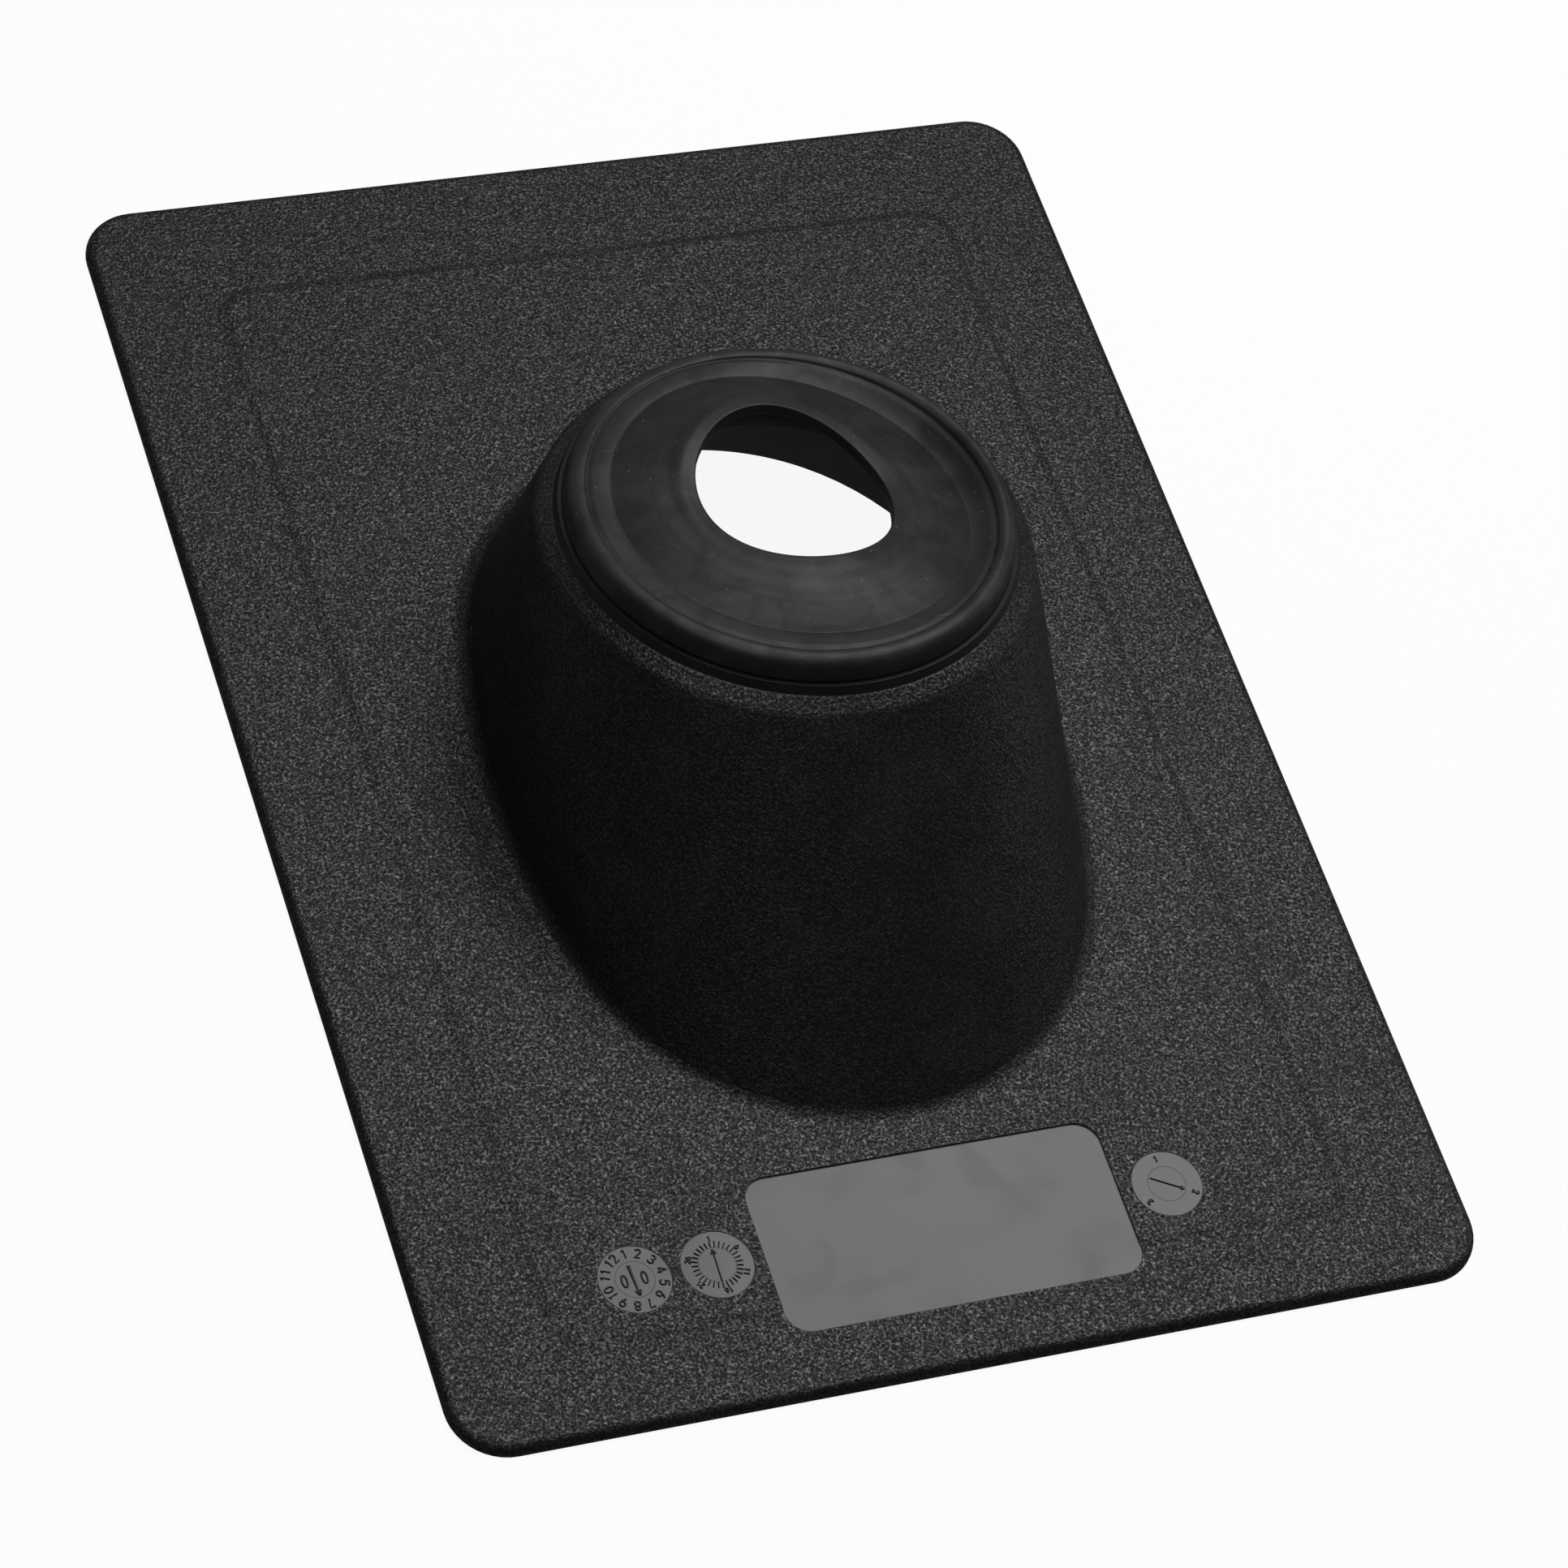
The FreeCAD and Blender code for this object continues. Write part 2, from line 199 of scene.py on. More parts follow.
@dataclass(frozen=True)
class MouldGrain:
    """The fine worm-like grain of the mould's etched faces: shiny ridges with dull gaps between, the gaps'
    dullness partly painted shade.
    """

    ridges_per_metre: float = 1780.0
    gap_level: float = 0.08
    ridge_level: float = 0.92
    wriggle: float = 0.5
    lattice_turn: Triple = (0.61, 0.44, 0.27)

    def group(self) -> bpy.types.NodeTree:
        """Build the node group.

        Returns:
            A group that turns Position into Height, from 0 in a gap to 1 on a ridge.
        """
        sheet, given, result = new_group(
            "mould_grain", "ShaderNodeTree", {"Position": "Vector"}, {"Height": "Float"})
        turned = sheet.add("ShaderNodeMapping", {"Vector": given["Position"], "Rotation": self.lattice_turn})
        ridges = sheet.add("ShaderNodeTexNoise", {
            "Vector": turned.outputs[0], "Scale": self.ridges_per_metre, "Detail": 0.0,
            "Distortion": self.wriggle})
        sheet.feed(result["Height"], sheet.ramp(ridges.outputs[0], self.gap_level, self.ridge_level))
        return sheet.tree


@dataclass(frozen=True)
class HandlingMarks:
    """Faint traces of storage and handling: cloudy smudges, dust specks and hairline scratches."""

    smudges_per_metre: float = 60.0
    smudge_detail: float = 4.0
    smudge_swirl: float = 0.8
    smudge_levels: Pair = (0.46, 0.72)
    specks_per_metre: float = 620.0
    speck_share: float = 0.10
    speck_size: float = 0.15
    scratches_per_metre: float = 22.0
    scratch_stretch: float = 44.0
    scratch_turn: Triple = (0.3, 0.5, 1.15)
    scratch_detail: float = 2.0
    scratch_roughness: float = 0.7
    scratch_levels: Pair = (0.68, 0.74)

    def group(self) -> bpy.types.NodeTree:
        """Build the node group.

        Returns:
            A group that turns Position into the masks Smudge, Speck and Scratch.
        """
        sheet, given, result = new_group(
            "handling_marks", "ShaderNodeTree", {"Position": "Vector"},
            {"Smudge": "Float", "Speck": "Float", "Scratch": "Float"})
        place = given["Position"]
        cloud = sheet.add("ShaderNodeTexNoise", {
            "Vector": place, "Scale": self.smudges_per_metre, "Detail": self.smudge_detail,
            "Distortion": self.smudge_swirl})
        sheet.feed(result["Smudge"], sheet.ramp(cloud.outputs[0], *self.smudge_levels))
        cells = sheet.add("ShaderNodeTexVoronoi", {"Vector": place, "Scale": self.specks_per_metre})
        chosen = sheet.add("ShaderNodeSeparateColor", {"Color": cells.outputs["Color"]})
        size = sheet.ramp(chosen.outputs[0], 1.0 - self.speck_share, 1.0, 0.0, self.speck_size)
        sheet.feed(result["Speck"], sheet.maths("LESS_THAN", cells.outputs["Distance"], size))
        drawn_out = (1.0, self.scratch_stretch, self.scratch_stretch)
        turned = sheet.add("ShaderNodeMapping", {
            "Vector": place, "Rotation": self.scratch_turn, "Scale": drawn_out})
        hair = sheet.add("ShaderNodeTexNoise", {
            "Vector": turned.outputs[0], "Scale": self.scratches_per_metre, "Detail": self.scratch_detail,
            "Roughness": self.scratch_roughness})
        sheet.feed(result["Scratch"], sheet.ramp(hair.outputs[0], *self.scratch_levels))
        return sheet.tree


@dataclass(frozen=True)
class Finishes:
    """The node groups that both materials share."""

    grain: bpy.types.NodeTree
    marks: bpy.types.NodeTree


def use_group(sheet: NodeSheet, tree: bpy.types.NodeTree, **inputs: object) -> bpy.types.NodeOutputs:
    """Place a shader group in a material.

    Args:
        sheet: The material's sheet.
        tree: The group.
        inputs: Values or sockets by the input's name.

    Returns:
        The group's outputs.
    """
    node = sheet.add("ShaderNodeGroup", node_tree=tree)
    for name, value in inputs.items():
        sheet.feed(node.inputs[name], value)
    return node.outputs


def new_material(name: str) -> tuple[bpy.types.Material, NodeSheet, bpy.types.Node]:
    """Start a material with one Principled shader.

    Args:
        name: The material's name.

    Returns:
        The material, its sheet and the shader.
    """
    material = bpy.data.materials.new(name)
    material.use_nodes = True
    sheet = NodeSheet(material.node_tree)
    return material, sheet, material.node_tree.nodes["Principled BSDF"]


@dataclass(frozen=True)
class NeckFrame:
    """The leaning frame of the neck's round rim."""

    centre: Triple = (0.0, 16.2 * MM, 58.5 * MM)
    lean: float = math.radians(8.8)

    def matrix(self) -> Matrix:
        """The place of the rim in the part's frame."""
        return Matrix.Translation(self.centre) @ Matrix.Rotation(-self.lean, 4, "X")

    def coordinates(self, sheet: NodeSheet, place: bpy.types.NodeSocket) -> tuple:
        """Distance from the neck's axis and height over its rim.

        Args:
            sheet: The material's sheet.
            place: Object coordinates.

        Returns:
            The radius and height sockets, in metres.
        """
        inputs = {"Vector": place, "Location": self.centre, "Rotation": (-self.lean, 0.0, 0.0)}
        local = sheet.add("ShaderNodeMapping", inputs, vector_type="TEXTURE").outputs[0]
        axes = sheet.add("ShaderNodeSeparateXYZ", {0: local}).outputs
        across = sheet.add("ShaderNodeCombineXYZ", {0: axes[0], 1: axes[1]}).outputs[0]
        radius = sheet.add("ShaderNodeVectorMath", {0: across}, operation="LENGTH").outputs["Value"]
        return radius, axes[2]


@dataclass(frozen=True)
class Recess:
    """A shallow smooth recess of the flange, a rounded rectangle or a disc."""

    centre: Point
    half_size: Point
    corner: float

    def distance(self, sheet: NodeSheet, axes: bpy.types.NodeOutputs) -> bpy.types.NodeSocket:
        """Distance outside the recess's outline, negative inside.

        Args:
            sheet: The material's sheet.
            axes: Object coordinates as separate X, Y and Z.

        Returns:
            The distance in metres.
        """
        beyond = []
        for axis, middle, half in zip(axes, self.centre, self.half_size):
            off = sheet.maths("ABSOLUTE", sheet.maths("SUBTRACT", axis, middle * MM))
            past_straight = sheet.maths("SUBTRACT", off, (half - self.corner) * MM)
            beyond.append(sheet.maths("MAXIMUM", past_straight, 0.0))
        flat = sheet.add("ShaderNodeCombineXYZ", {0: beyond[0], 1: beyond[1]}).outputs[0]
        length = sheet.add("ShaderNodeVectorMath", {0: flat}, operation="LENGTH").outputs["Value"]
        return sheet.maths("SUBTRACT", length, self.corner * MM)


@dataclass(frozen=True)
class PlasticFinish:
    """Black thermoplastic: grained where the mould is etched, smooth on the neck, in recesses and below."""

    colour: Triple = (0.0062, 0.0063, 0.0067)
    dust_colour: Triple = (0.060, 0.059, 0.057)
    smudge_dust: float = 0.05
    speck_dust: float = 0.20
    smudge_dulling: float = 0.04
    ridge_roughness: float = 0.38
    gap_roughness: float = 0.46
    ridge_gloss: float = 0.86
    # Gloss in the grain's gaps: partly the real duller gaps, partly painted shade of the gaps that dims their
    # reflection.
    gap_gloss: float = 0.047
    smooth_roughness: float = 0.34
    smooth_gloss: float = 0.5
    hidden_roughness: float = 0.52
    grain_depth: float = 0.095 * MM
    smooth_grain: float = 0.02
    recess_edge: Pair = (-0.15 * MM, 0.10 * MM)
    downward: Pair = (-0.12, -0.04)
    neck_reach: float = 51.75 * MM
    neck_foot: float = -2.05 * MM
    foot_blend: float = 0.5 * MM
    neck_gloss: float = 0.20
    rim_rounding: float = 0.28 * MM
    rim_reach: float = -1.2 * MM
    rim_blend: float = 0.3 * MM
    bevel_samples: int = 8

    def material(self, finishes: Finishes, neck: NeckFrame, recesses: Sequence[Recess]) -> bpy.types.Material:
        """Build the material of the base moulding.

        Args:
            finishes: The shared node groups.
            neck: The frame of the neck.
            recesses: The smooth recesses of the flange.

        Returns:
            The material.
        """
        material, sheet, shader = new_material("moulded_black_plastic")
        place = sheet.add("ShaderNodeTexCoord").outputs["Object"]
        axes = sheet.add("ShaderNodeSeparateXYZ", {0: place}).outputs

        nearest: Number = 1.0
        for recess in recesses:
            nearest = sheet.maths("MINIMUM", nearest, recess.distance(sheet, axes))
        outside_recess = sheet.ramp(nearest, *self.recess_edge)
        radius, height = neck.coordinates(sheet, place)
        beside_neck = sheet.ramp(radius, self.neck_reach, self.neck_reach + self.rim_blend)
        below_neck = sheet.ramp(height, self.neck_foot - self.foot_blend, self.neck_foot, 1.0, 0.0)
        off_neck = sheet.maths("MAXIMUM", beside_neck, below_neck)
        normal = sheet.add("ShaderNodeNewGeometry").outputs["Normal"]
        upward = sheet.add("ShaderNodeSeparateXYZ", {0: normal}).outputs[2]
        shown = sheet.ramp(upward, *self.downward)
        etched = sheet.maths("MULTIPLY", sheet.maths("MULTIPLY", outside_recess, off_neck), shown)

        grain = use_group(sheet, finishes.grain, Position=place)["Height"]
        depth = sheet.mix_value(etched, self.smooth_grain, 1.0)
        rounded = sheet.add("ShaderNodeBevel", {"Radius": self.rim_rounding}, samples=self.bevel_samples)
        below_rim = sheet.ramp(height, self.rim_reach - self.rim_blend, self.rim_reach, 1.0, 0.0)
        off_rim = sheet.maths("MAXIMUM", off_neck, below_rim)
        soft = sheet.add("ShaderNodeMix", data_type="VECTOR")
        for key, value in ((0, off_rim), (4, rounded.outputs[0]), (5, normal)):
            sheet.feed(soft.inputs[key], value)
        bump = sheet.add("ShaderNodeBump", {
            "Strength": 1.0, "Distance": self.grain_depth, "Height": sheet.maths("MULTIPLY", grain, depth),
            "Normal": soft.outputs[1]})
        sheet.feed(shader.inputs["Normal"], bump.outputs[0])

        marks = use_group(sheet, finishes.marks, Position=place)
        dust = sheet.maths("ADD", sheet.maths("MULTIPLY", marks["Smudge"], self.smudge_dust),
                           sheet.maths("MULTIPLY", marks["Speck"], self.speck_dust))
        sheet.feed(shader.inputs["Base Color"], sheet.mix_colour(dust, self.colour, self.dust_colour))
        smooth = sheet.mix_value(shown, self.hidden_roughness, self.smooth_roughness)
        grained = sheet.mix_value(grain, self.gap_roughness, self.ridge_roughness)
        rough = sheet.mix_value(etched, smooth, grained)
        worn = sheet.maths("ADD", rough, sheet.maths("MULTIPLY", marks["Smudge"], self.smudge_dulling))
        sheet.feed(shader.inputs["Roughness"], worn)
        # Gloss grows from the gaps to the ridges: partly real duller gaps, partly painted shade that darkens
        # the reflection in the gaps.
        growth = sheet.maths("POWER", self.ridge_gloss / self.gap_gloss, grain)
        gloss = sheet.maths("MULTIPLY", growth, self.gap_gloss)
        smooth_gloss = sheet.mix_value(off_neck, self.neck_gloss, self.smooth_gloss)
        sheet.feed(shader.inputs["Specular IOR Level"], sheet.mix_value(etched, smooth_gloss, gloss))
        return material


@dataclass(frozen=True)
class RubberFinish:
    """Smooth black rubber with a cloudy sheen, faint rings, a little dust and faint handling marks."""

    colour: Triple = (0.0085, 0.0085, 0.0088)
    dust_colour: Triple = (0.11, 0.11, 0.105)
    smudge_dust: float = 0.06
    speck_dust: float = 0.7
    scratch_dust: float = 0.18
    smudge_dulling: float = 0.08
    roughness: float = 0.49
    gloss: float = 0.295
    skin_depth: float = 0.012 * MM
    skin_scale: float = 1400.0
    skin_detail: float = 2.0
    haze_scale: float = 85.0
    haze_detail: float = 7.0
    haze_roughness: float = 0.62
    haze_swirl: float = 1.0
    haze_levels: Pair = (0.30, 0.70)
    haze_gloss: Pair = (0.72, 1.28)
    ring_scale: float = 520.0
    ring_detail: float = 1.5
    ring_levels: Pair = (0.25, 0.75)
    ring_gloss: Pair = (0.93, 1.07)
    ring_share: float = 0.9
    scratch_share: float = 1.5

    def material(self, finishes: Finishes, neck: NeckFrame) -> bpy.types.Material:
        """Build the material of the collar.

        Args:
            finishes: The shared node groups.
            neck: The frame of the neck, for the faint moulded rings.

        Returns:
            The material.
        """
        material, sheet, shader = new_material("collar_black_rubber")
        place = sheet.add("ShaderNodeTexCoord").outputs["Object"]
        marks = use_group(sheet, finishes.marks, Position=place)
        dust = sheet.maths("ADD", sheet.maths("MULTIPLY", marks["Smudge"], self.smudge_dust),
                           sheet.maths("MULTIPLY", marks["Speck"], self.speck_dust))
        dust = sheet.maths("ADD", dust, sheet.maths("MULTIPLY", marks["Scratch"], self.scratch_dust))
        sheet.feed(shader.inputs["Base Color"], sheet.mix_colour(dust, self.colour, self.dust_colour))
        cloudy = sheet.maths("MULTIPLY", marks["Smudge"], self.smudge_dulling)
        sheet.feed(shader.inputs["Roughness"], sheet.maths("ADD", cloudy, self.roughness))
        haze = sheet.add("ShaderNodeTexNoise", {
            "Vector": place, "Scale": self.haze_scale, "Detail": self.haze_detail,
            "Roughness": self.haze_roughness, "Distortion": self.haze_swirl})
        radius, _ = neck.coordinates(sheet, place)
        rings = sheet.add("ShaderNodeTexNoise", {
            "W": radius, "Scale": self.ring_scale, "Detail": self.ring_detail}, noise_dimensions="1D")
        uneven = sheet.ramp(haze.outputs[0], *self.haze_levels, *self.haze_gloss)
        banded = sheet.ramp(rings.outputs[0], *self.ring_levels, *self.ring_gloss)
        sheen = sheet.maths("MULTIPLY", sheet.maths("MULTIPLY", uneven, banded), self.gloss)
        sheet.feed(shader.inputs["Specular IOR Level"], sheen)
        skin = sheet.add("ShaderNodeTexNoise", {
            "Vector": place, "Scale": self.skin_scale, "Detail": self.skin_detail})
        ring_height = sheet.maths("MULTIPLY", rings.outputs[0], self.ring_share)
        scratch_depth = sheet.maths("MULTIPLY", marks["Scratch"], self.scratch_share)
        surface = sheet.maths("SUBTRACT", sheet.maths("ADD", skin.outputs[0], ring_height), scratch_depth)
        bump = sheet.add("ShaderNodeBump", {
            "Strength": 1.0, "Distance": self.skin_depth, "Height": surface})
        sheet.feed(shader.inputs["Normal"], bump.outputs[0])
        return material


# Geometry trees


class GeometryRecipe:
    """A Geometry Nodes tree that makes a piece's mesh from a drawn guide."""

    def __init__(self, name: str, sizes: dict[str, str]) -> None:
        """Start the tree.

        Args:
            name: The tree's name.
            sizes: Types of the named size inputs.
        """
        inputs = {"Geometry": "Geometry", **sizes, "Finish": "Material"}
        self.sheet, self.given, self.result = new_group(
            name, "GeometryNodeTree", inputs, {"Geometry": "Geometry"})

    def end(self, geometry: bpy.types.NodeSocket) -> None:
        """Realize and finish the geometry and join it to the tree's output.

        Args:
            geometry: The geometry to put out.
        """
        real = self.sheet.add("GeometryNodeRealizeInstances", {0: geometry}).outputs[0]
        ready = self.sheet.add("GeometryNodeSetMaterial", {
            "Geometry": real, "Material": self.given["Finish"]})
        self.sheet.feed(self.result["Geometry"], ready.outputs[0])

    def make(self, name: str, guide: bpy.types.Mesh, values: dict[str, object]) -> bpy.types.Object:
        """Run the tree on a guide mesh.

        Args:
            name: The piece's name.
            guide: The edges or points that the tree starts from.
            values: Values of the named inputs.

        Returns:
            A plain mesh object with the tree's result.
        """
        guide_piece = bpy.data.objects.new(name + "_guide", guide)
        bpy.context.scene.collection.objects.link(guide_piece)
        modifier = guide_piece.modifiers.new("recipe", "NODES")
        modifier.node_group = self.sheet.tree
        for item in self.sheet.tree.interface.items_tree:
            if item.in_out == "INPUT" and item.name in values:
                modifier[item.identifier] = values[item.name]
        bpy.context.view_layer.update()
        evaluated = guide_piece.evaluated_get(bpy.context.evaluated_depsgraph_get())
        mesh = bpy.data.meshes.new_from_object(evaluated)
        guide_piece.modifiers.clear()
        bpy.data.objects.remove(guide_piece)
        mesh.name = name
        piece = bpy.data.objects.new(name, mesh)
        bpy.context.scene.collection.objects.link(piece)
        return piece


def guide_mesh(name: str, lines: Iterable[Line], level: float = 0.0) -> bpy.types.Mesh:
    """Draw polylines as the edges of a mesh.

    Args:
        name: The mesh's name.
        lines: Points in millimetres, each with whether the line closes.
        level: Height of the lines, in millimetres.

    Returns:
        The mesh of edges, in metres.
    """
    points: list[tuple[float, float, float]] = []
    edges: list[tuple[int, int]] = []
    for line, closed in lines:
        first = len(points)
        points.extend((x * MM, y * MM, level * MM) for x, y in line)
        edges.extend((i, i + 1) for i in range(first, len(points) - 1))
        if closed:
            edges.append((len(points) - 1, first))
    mesh = bpy.data.meshes.new(name)
    mesh.from_pydata(points, edges, [])
    return mesh


def turning_recipe() -> GeometryRecipe:
    """A closed section, drawn from the start radius outwards and upwards, turned about Z."""
    recipe = GeometryRecipe("turned_ring", {"Start Radius": "Float", "Segments": "Int"})
    sheet, given = recipe.sheet, recipe.given
    section = sheet.add("GeometryNodeMeshToCurve", {0: given["Geometry"]}).outputs[0]
    path = sheet.add("GeometryNodeCurvePrimitiveCircle", {
        "Resolution": given["Segments"], "Radius": given["Start Radius"]}).outputs[0]
    upright = sheet.add("GeometryNodeSetCurveNormal", {0: path})
    upright.mode = "Z_UP"
    ring = sheet.add("GeometryNodeCurveToMesh", {0: upright.outputs[0], 1: section}).outputs[0]
    soft = sheet.add("GeometryNodeSetShadeSmooth", {0: ring}).outputs[0]
    recipe.end(soft)
    return recipe


def roof_section(sheet: NodeSheet, width: Number, height: Number) -> bpy.types.NodeSocket:
    """The roof-shaped section of a raised mark, with its foot sunk in the dial's face.

    Args:
        sheet: The geometry tree's sheet.
        width: Width at the foot.
        height: Height of the crest.

    Returns:
        The closed section curve.
    """
    crest = sheet.maths("MULTIPLY", height, -1.0)
    shares = ((0.5, FOOT_SUNK), (-0.5, FOOT_SUNK), (-CREST_SHARE, crest), (CREST_SHARE, crest))
    corners = {}
    for number, (share, along) in enumerate(shares, start=1):
        across = sheet.maths("MULTIPLY", width, share)
        corners[f"Point {number}"] = sheet.add("ShaderNodeCombineXYZ", {0: across, 1: along}).outputs[0]
    return sheet.add("GeometryNodeCurvePrimitiveQuadrilateral", corners, mode="POINTS").outputs[0]


# The base moulding


@dataclass(frozen=True)
class FlangeFeatures:
    """Places of the recesses on the front of the flange, in millimetres."""

    panel_half_width: float = 41.0
    panel_front: float = -150.7
    panel_back: float = -113.0
    panel_corner: float = 5.5
    dial_row: float = -131.5
    dial_radius: float = 8.0
    month_dial: float = -70.0
    day_dial: float = -51.6
    shift_dial: float = 52.0
    recess_floor: float = 2.5

    def recesses(self) -> list[Recess]:
        """The bare label panel and the three dials."""
        middle = (self.panel_front + self.panel_back) / 2
        half = (self.panel_back - self.panel_front) / 2
        panel = Recess((0.0, middle), (self.panel_half_width, half), self.panel_corner)
        radius = self.dial_radius
        dials = [Recess((x, self.dial_row), (radius, radius), radius)
                 for x in (self.month_dial, self.day_dial, self.shift_dial)]
        return [panel, *dials]


@dataclass
class FlashingBase:
    """The base moulding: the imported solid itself, dressed in grained plastic."""

    node: str = "flashing_base"
    features: FlangeFeatures = field(default_factory=FlangeFeatures)
    neck: NeckFrame = field(default_factory=NeckFrame)
    finish: PlasticFinish = field(default_factory=PlasticFinish)

    def build(self, finishes: Finishes) -> bpy.types.Material:
        """Dress the solid.

        Args:
            finishes: The shared node groups.

        Returns:
            The plastic, for the marks on the dials.
        """
        plastic = self.finish.material(finishes, self.neck, self.features.recesses())
        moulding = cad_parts[self.node]
        for place in moulding.material_slots:
            place.material = plastic
        LOG.info("%s: dressed, %d faces", self.node, len(moulding.data.polygons))
        return plastic


# The rubber collar


def arc(centre: Point, radii: Point, start: float, end: float, steps: int) -> list[Point]:
    """Points on an elliptical arc.

    Args:
        centre: The arc's centre.
        radii: Its radii along X and Y.
        start: First angle, in degrees.
        end: Last angle, in degrees.
        steps: Number of spans.

    Returns:
        The points, both ends included.
    """
    angles = [math.radians(start + (end - start) * i / steps) for i in range(steps + 1)]
    return [(centre[0] + radii[0] * math.cos(a), centre[1] + radii[1] * math.sin(a)) for a in angles]


def span(start: Point, end: Point, steps: int) -> list[Point]:
    """Points on a straight line, without its last one.

    Args:
        start: The first point.
        end: The end of the line.
        steps: Number of points.

    Returns:
        The points.
    """
    return [(start[0] + (end[0] - start[0]) * i / steps, start[1] + (end[1] - start[1]) * i / steps)
            for i in range(steps)]


def bezier(start: Point, pull: Point, end: Point, steps: int) -> list[Point]:
    """Points on a curve from one point to another, without its first one.

    Args:
        start: The first point.
        pull: The point that the curve bends towards.
        end: The last point.
        steps: Number of spans.

    Returns:
        The points.
    """
    shares = [i / steps for i in range(1, steps + 1)]
    return [tuple((1 - t) ** 2 * a + 2 * t * (1 - t) * b + t * t * c for a, b, c in zip(start, pull, end))
            for t in shares]


@dataclass
class RubberCollar:
    """The soft collar, turned about the neck's axis and bent as the real one sits. Sizes in millimetres."""

    node: str = "rubber_collar"
    neck: NeckFrame = field(default_factory=NeckFrame)
    finish: RubberFinish = field(default_factory=RubberFinish)
    segments: int = 288
    edge: float = 0.3
    outer_radius: float = 49.6
    tuck: Pair = (0.03, 0.02)
    overhang_radius: float = 50.0
    overhang_height: float = 0.3
    overhang_edge: Triple = (0.15, 0.04, 0.03)
    bead_centre: Point = (46.88, 3.0)
    bead_radius: float = 2.6
    bead_draft: float = 10.0
    bead_end: float = 118.0
    valley_radius: float = 45.2
    valley_rise: float = 0.92
    valley_depth: float = 0.12
    valley_width: float = 1.1
    valley_pulls: tuple[Point, Point] = ((0.25, 0.14), (-0.35, -0.02))
    shelf_rise: float = 0.86
    shelf_thickness: float = 1.8
    crease_radius: float = 40.1
    crease_height: float = 4.0
    crease_steps: tuple[Point, Point] = ((0.5, 0.12), (0.18, 0.04))
    dome_radius: float = 45.5
    membrane: float = 1.6
    membrane_slack: float = 0.05
    ring_marks: tuple[float, ...] = (27.2, 29.0, 31.2, 33.6)
    ring_depth: float = 0.012
    ring_width: float = 0.45
    lip_radius: float = 22.1
    lip_width: float = 1.3
    lip_height: float = 9.3
    lip_length: float = 3.0
    lip_crown: Pair = (0.04, 0.05)
    lip_rounding: float = 0.45
    lip_foot: float = 0.4
    lip_root: float = 0.2
    pocket_radius: float = 47.1
    pocket_rounding: float = 0.6
    inner_radius: float = 39.2
    foot_height: float = -2.0
    seat_height: float = -4.0
    neck_radius: float = 41.7
    clip_radius: float = 44.4
    clip_rounding: float = 0.2
    clip_top: float = -6.5
    clip_edge: float = -7.7
    clip_end: float = -10.0
    crease_bend: tuple[float, float, float, float] = (-2.21, -0.12, -0.88, -0.60)
    hole_bend: tuple[float, float, float, float] = (-2.52, 1.38, -2.36, -0.64)
    roll_place: Pair = (25.4, 1.9)
    roll_rise: float = 0.55
    roll_turn: float = math.radians(120.0)
    held_radius: float = 48.08
    free_height: float = -0.8
    free_run: float = 3.0

    def dome(self, steps: int = 64) -> list[Point]:
        """The domed top of the membrane from the crease to the lip, with its faint moulded rings.

        Args:
            steps: Number of spans.

        Returns:
            The points.
        """
        inner = self.lip_radius + self.lip_width
        run = self.crease_radius - inner
        rise = self.lip_height - self.crease_height
        chord = math.hypot(run, rise)
        bow = self.dome_radius - math.sqrt(self.dome_radius ** 2 - (chord / 2) ** 2)
        points = []
        for i in range(steps + 1):
            t = i / steps
            radius = self.crease_radius - run * t
            height = self.crease_height + rise * t + bow * 4 * t * (1 - t) * chord / run
            ripple = sum(math.exp(-(((radius - ring) / self.ring_width) ** 2)) for ring in self.ring_marks)
            points.append((radius, height + self.ring_depth * ripple))
        return points

    def bead(self) -> list[Point]:
        """The bead, from the neck's rim over its crest to the brim of the valley."""
        outer, radius, height = self.outer_radius, self.overhang_radius, self.overhang_height
        rounding, corner, side = self.overhang_edge
        edge = [(outer, height - self.tuck[1]), (outer + self.tuck[0], height), (radius - rounding, height),
                (radius - corner, height + corner), (radius - side, height + rounding)]
        radii = (self.bead_radius, self.bead_radius)
        return edge + arc(self.bead_centre, radii, self.bead_draft, self.bead_end, 26)

    def shelf(self, brim: Point) -> list[Point]:
        """The soft valley inside the bead, the shelf and the crease.

        Args:
            brim: The end of the bead.

        Returns:
            The points.
        """
        middle, base = self.valley_radius, self.crease_height
        floor = (middle, base + self.valley_rise - self.valley_depth)
        inner = (middle - self.valley_width, base + self.shelf_rise)
        outer_pull, inner_pull = [(middle + x, floor[1] + y) for x, y in self.valley_pulls]
        valley = bezier(brim, outer_pull, floor, 5) + bezier(floor, inner_pull, inner, 5)
        crease = [(self.crease_radius + x, base + y) for x, y in self.crease_steps]
        return valley[:-1] + span(inner, crease[0], 14) + crease

    def lip(self) -> list[Point]:
        """The lip of the pipe's hole, from its flat top down to its lower edge."""
        radius, top, foot, rounding = self.lip_radius, self.lip_height, self.lip_foot, self.lip_rounding
        low, high = self.lip_crown
        below = top - self.lip_length
        outer = radius + self.lip_width - self.edge
        points = span((outer, top + low), (radius + rounding + high, top + high), 4)
        points += arc((radius + rounding, top + high - rounding), (rounding, rounding), 90.0, 180.0, 6)
        points += span((radius, top - 2 * foot), (radius, below + foot), 4)
        return points + arc((radius + foot, below + foot), (foot, foot), 180.0, 270.0, 4)

